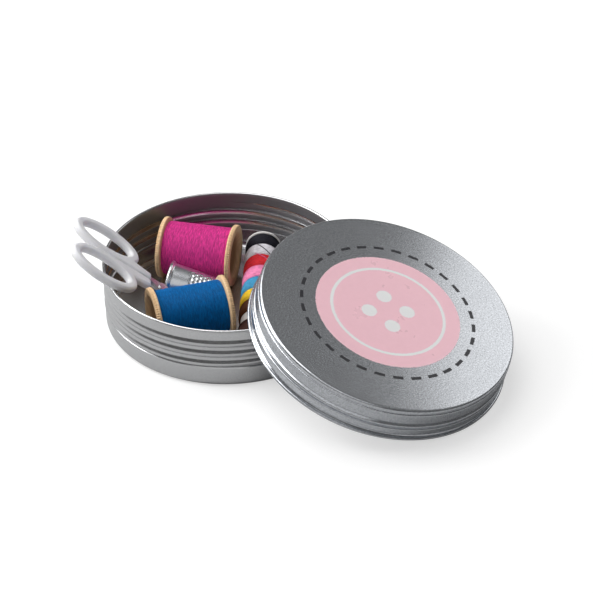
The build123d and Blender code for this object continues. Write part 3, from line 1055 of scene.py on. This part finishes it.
class SEWINGTIN_OT_stage(bpy.types.Operator):
    """Set up the pale floor, the soft lights and the camera"""

    bl_idname = "sewingtin.stage"
    bl_label = "Stage"

    def execute(self, context):
        self.floor()
        self.world(context.scene)
        self.softbox("right_softbox", square_on(0.58, 0.48, 0.48), 0.49, 0.75)
        self.softbox("sky_softbox", square_on(-0.40, 0.22, 0.85), 1.2, 8.8)
        self.softbox("left_softbox", square_on(-0.60, 0.08, 0.36), 0.4, 2.6)
        self.softbox("front_softbox", square_on(-0.10, -0.62, 0.70), 0.9, 1.1)
        self.camera(context.scene)
        context.scene.view_settings.view_transform = "Standard"
        return {"FINISHED"}

    def floor(self):
        """A round pale floor, which shows white round the object's shadow."""
        bm = bmesh.new()
        bmesh.ops.create_circle(bm, cap_ends=True, radius=3.0, segments=64)
        material = bpy.data.materials.new("pale_floor")
        material.use_nodes = True
        material.node_tree.nodes.clear()
        tree = Tree(material.node_tree)
        source = tree.node("ShaderNodeTexCoord").outputs["Object"]
        mottle = tree.noise(source, 30.0, 2.0)
        lit = self.matt(tree, mottle, 0.54, 0.56)
        bright = self.matt(tree, mottle, 0.48, 0.49)
        glow = tree.node("ShaderNodeEmission", {"Color": (1, 1, 1, 1), "Strength": 0.58})
        both = tree.node("ShaderNodeAddShader", {0: bright.outputs[0], 1: glow.outputs[0]})
        path = tree.node("ShaderNodeLightPath")
        choice = tree.node(
            "ShaderNodeMixShader",
            {0: path.outputs["Is Camera Ray"], 1: lit.outputs[0], 2: both.outputs[0]},
        )
        tree.node("ShaderNodeOutputMaterial", {"Surface": choice.outputs[0]})
        floor = shown("floor", bm, Matrix(), material)

    def matt(self, tree, mottle, low, high):
        """A matt grey that wanders between two levels."""
        grey = tree.mix(mottle, (low, low, low, 1), (high, high, high, 1))
        return tree.node("ShaderNodeBsdfDiffuse", {"Color": grey})

    def world(self, scene):
        """A dim room that is a little brighter overhead, and white to the camera."""
        world = bpy.data.worlds.new("studio")
        world.use_nodes = True
        world.node_tree.nodes.clear()
        tree = Tree(world.node_tree)
        path = tree.node("ShaderNodeLightPath")
        source = tree.node("ShaderNodeTexCoord").outputs["Generated"]
        split = tree.node("ShaderNodeSeparateXYZ", {"Vector": source})
        room = tree.map(split.outputs[2], 0.05, 0.9, 0.06, 0.14)
        dim = tree.node("ShaderNodeBackground", {"Color": (1, 1, 1, 1), "Strength": room})
        white = tree.node("ShaderNodeBackground", {"Color": (1, 1, 1, 1), "Strength": 1.0})
        choice = tree.node(
            "ShaderNodeMixShader",
            {0: path.outputs["Is Camera Ray"], 1: dim.outputs[0], 2: white.outputs[0]},
        )
        tree.node("ShaderNodeOutputWorld", {"Surface": choice.outputs[0]})
        scene.world = world

    def softbox(self, name, place, size, power):
        """A round soft light at this place from the middle of the object, and facing it."""
        middle = Vector((0.03, 0, 0.01))
        light = bpy.data.lights.new(name, "AREA")
        light.shape = "ELLIPSE"
        light.size = size
        light.size_y = size
        light.energy = power
        lamp = bpy.data.objects.new(name, light)
        lamp.location = middle + place
        lamp.rotation_mode = "QUATERNION"
        lamp.rotation_quaternion = (-place).to_track_quat("-Z", "Y")
        bpy.context.scene.collection.objects.link(lamp)

    def camera(self, scene):
        """The photograph's viewpoint: a long lens, looking down at the middle of the view."""
        aim, distance, looking_down = laid(23.14, 9.63, 0), 725.1, math.radians(35.08)
        data = bpy.data.cameras.new("camera")
        data.lens = 128.26
        data.sensor_width = 36.0
        data.clip_start = 0.05
        data.clip_end = 20.0
        camera = bpy.data.objects.new("camera", data)
        away = math.cos(looking_down)
        back = Vector(
            (
                math.sin(LAYOUT_TURN) * away,
                -math.cos(LAYOUT_TURN) * away,
                math.sin(looking_down),
            )
        )
        camera.location = aim + back * distance * MM
        camera.rotation_mode = "QUATERNION"
        camera.rotation_quaternion = (-back).to_track_quat("-Z", "Y")
        scene.collection.objects.link(camera)
        scene.camera = camera


PIECES = (
    SEWINGTIN_OT_tin,
    SEWINGTIN_OT_lid,
    SEWINGTIN_OT_spools,
    SEWINGTIN_OT_spool_threads,
    SEWINGTIN_OT_thimble,
    SEWINGTIN_OT_scissors,
    SEWINGTIN_OT_card_tube,
    SEWINGTIN_OT_band_threads,
    SEWINGTIN_OT_stage,
)


class SEWINGTIN_PT_panel(bpy.types.Panel):
    """Lists the sewing tin's pieces and settings"""

    bl_idname = "SEWINGTIN_PT_panel"
    bl_label = "Sewing tin"
    bl_space_type = "VIEW_3D"
    bl_region_type = "UI"
    bl_category = "Sewing tin"

    def draw(self, context):
        for settings in (context.scene.sewing_tin_sizes, context.scene.sewing_tin_colours):
            for key in settings.__annotations__:
                self.layout.prop(settings, key)
        for piece in PIECES:
            self.layout.operator(piece.bl_idname)


CLASSES = (SewingTinSizes, SewingTinColours, *PIECES, SEWINGTIN_PT_panel)


def register():
    for made in CLASSES:
        bpy.utils.register_class(made)
    bpy.types.Scene.sewing_tin_sizes = PointerProperty(type=SewingTinSizes)
    bpy.types.Scene.sewing_tin_colours = PointerProperty(type=SewingTinColours)


def unregister():
    del bpy.types.Scene.sewing_tin_colours
    del bpy.types.Scene.sewing_tin_sizes
    for made in reversed(CLASSES):
        bpy.utils.unregister_class(made)


def main():
    """Build every piece in order."""
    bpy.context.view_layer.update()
    register()
    for piece in PIECES:
        name = piece.bl_idname.split(".")[1]
        getattr(bpy.ops.sewingtin, name)()


if __name__ == "__main__":
    main()
